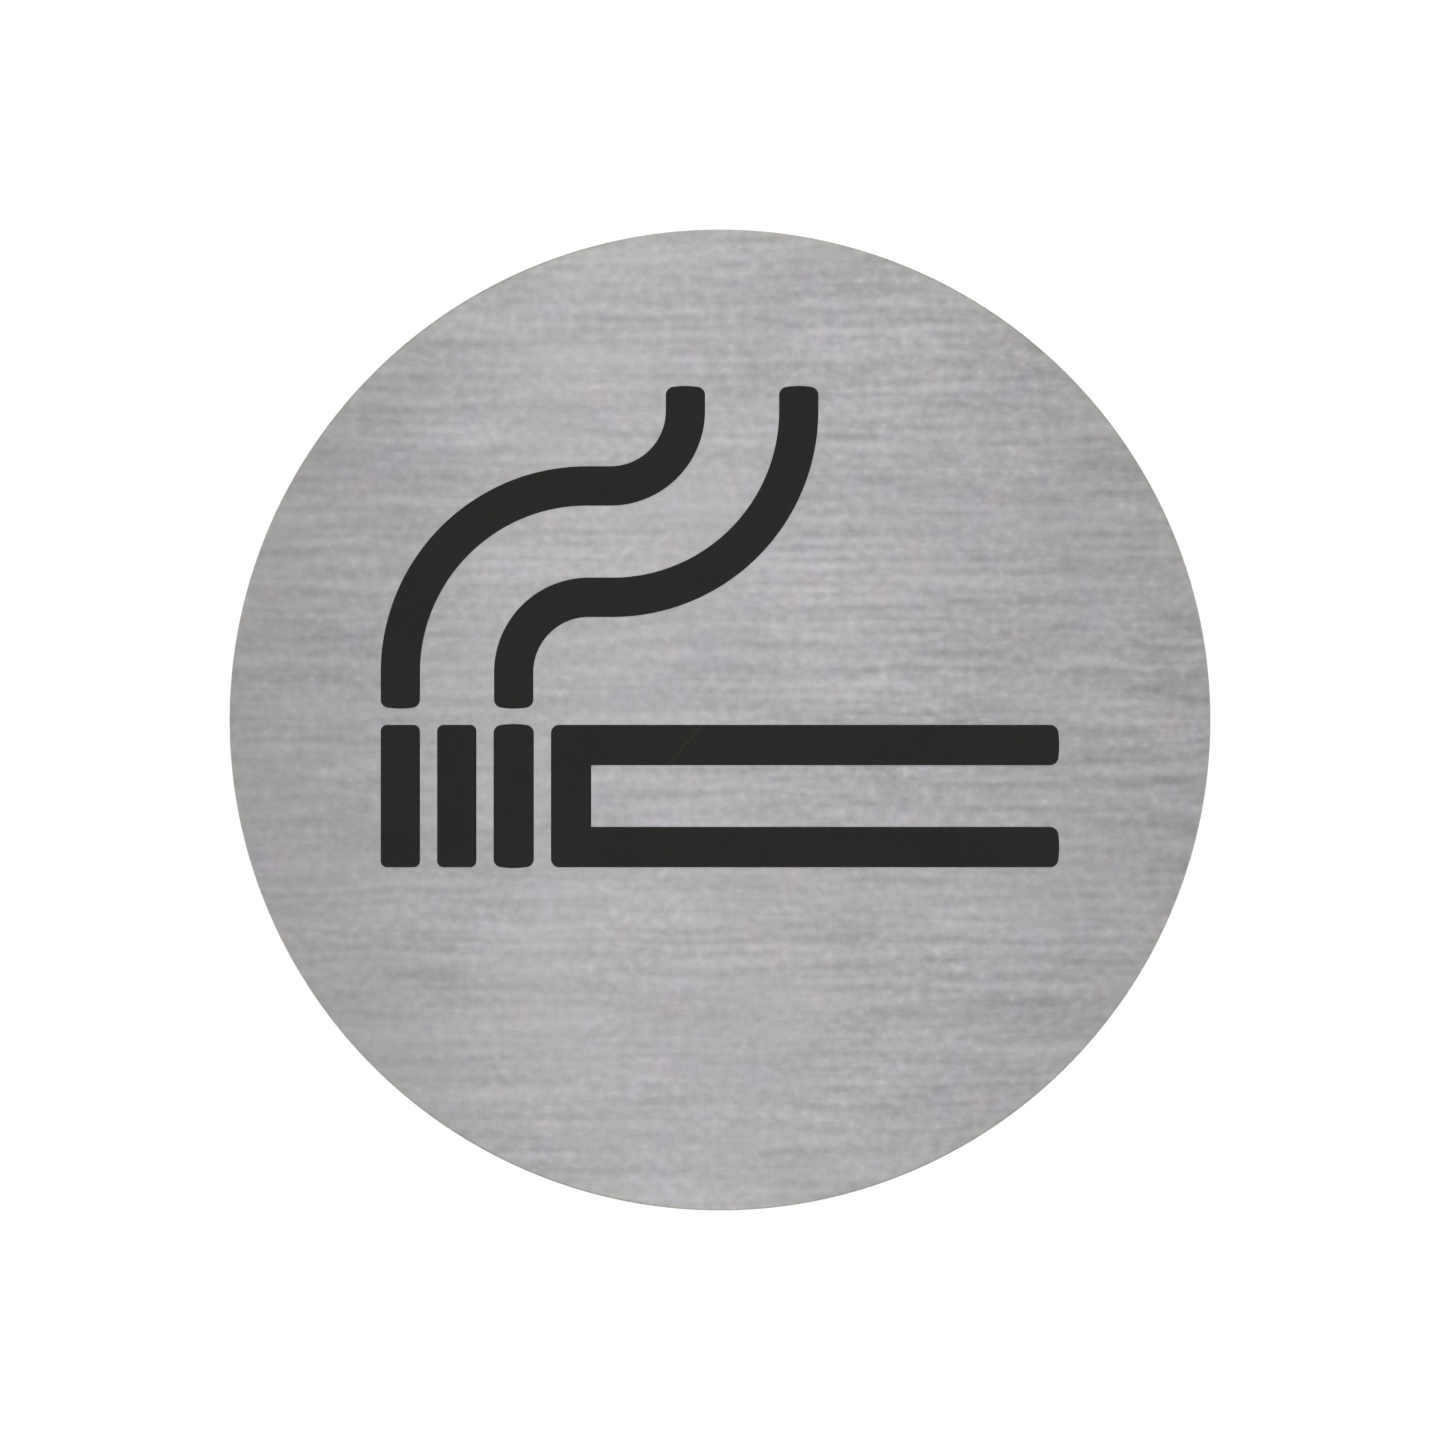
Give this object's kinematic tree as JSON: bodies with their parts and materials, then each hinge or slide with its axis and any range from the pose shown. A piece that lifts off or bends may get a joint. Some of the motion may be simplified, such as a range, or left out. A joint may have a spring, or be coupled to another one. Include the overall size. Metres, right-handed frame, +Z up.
{
  "type": "smoking area sign",
  "caption": "Round flat brushed steel wall plate with a black cigarette and smoke pictogram on the front and a self-adhesive foam pad on the back.",
  "frame": {"origin": "centre of the adhesive face that goes against the wall", "axes": "+Z up the sign as it hangs, +X to the right for someone who reads it, +Y into the wall; the pictogram faces -Y"},
  "size_m": [0.1, 0.0024, 0.1],
  "materials": {
    "steel": "fine level brushing, satin",
    "black_film": "matt black",
    "foam": "matt off-white foam"
  },
  "bodies": {
    "root": {"plate": "steel", "adhesive_pad": "foam", "cigarette_outline": "black_film", "glow_bar_left": "black_film", "glow_bar_middle": "black_film", "glow_bar_right": "black_film", "smoke_trail_left": "black_film", "smoke_trail_right": "black_film"}
  },
  "joints": []
}
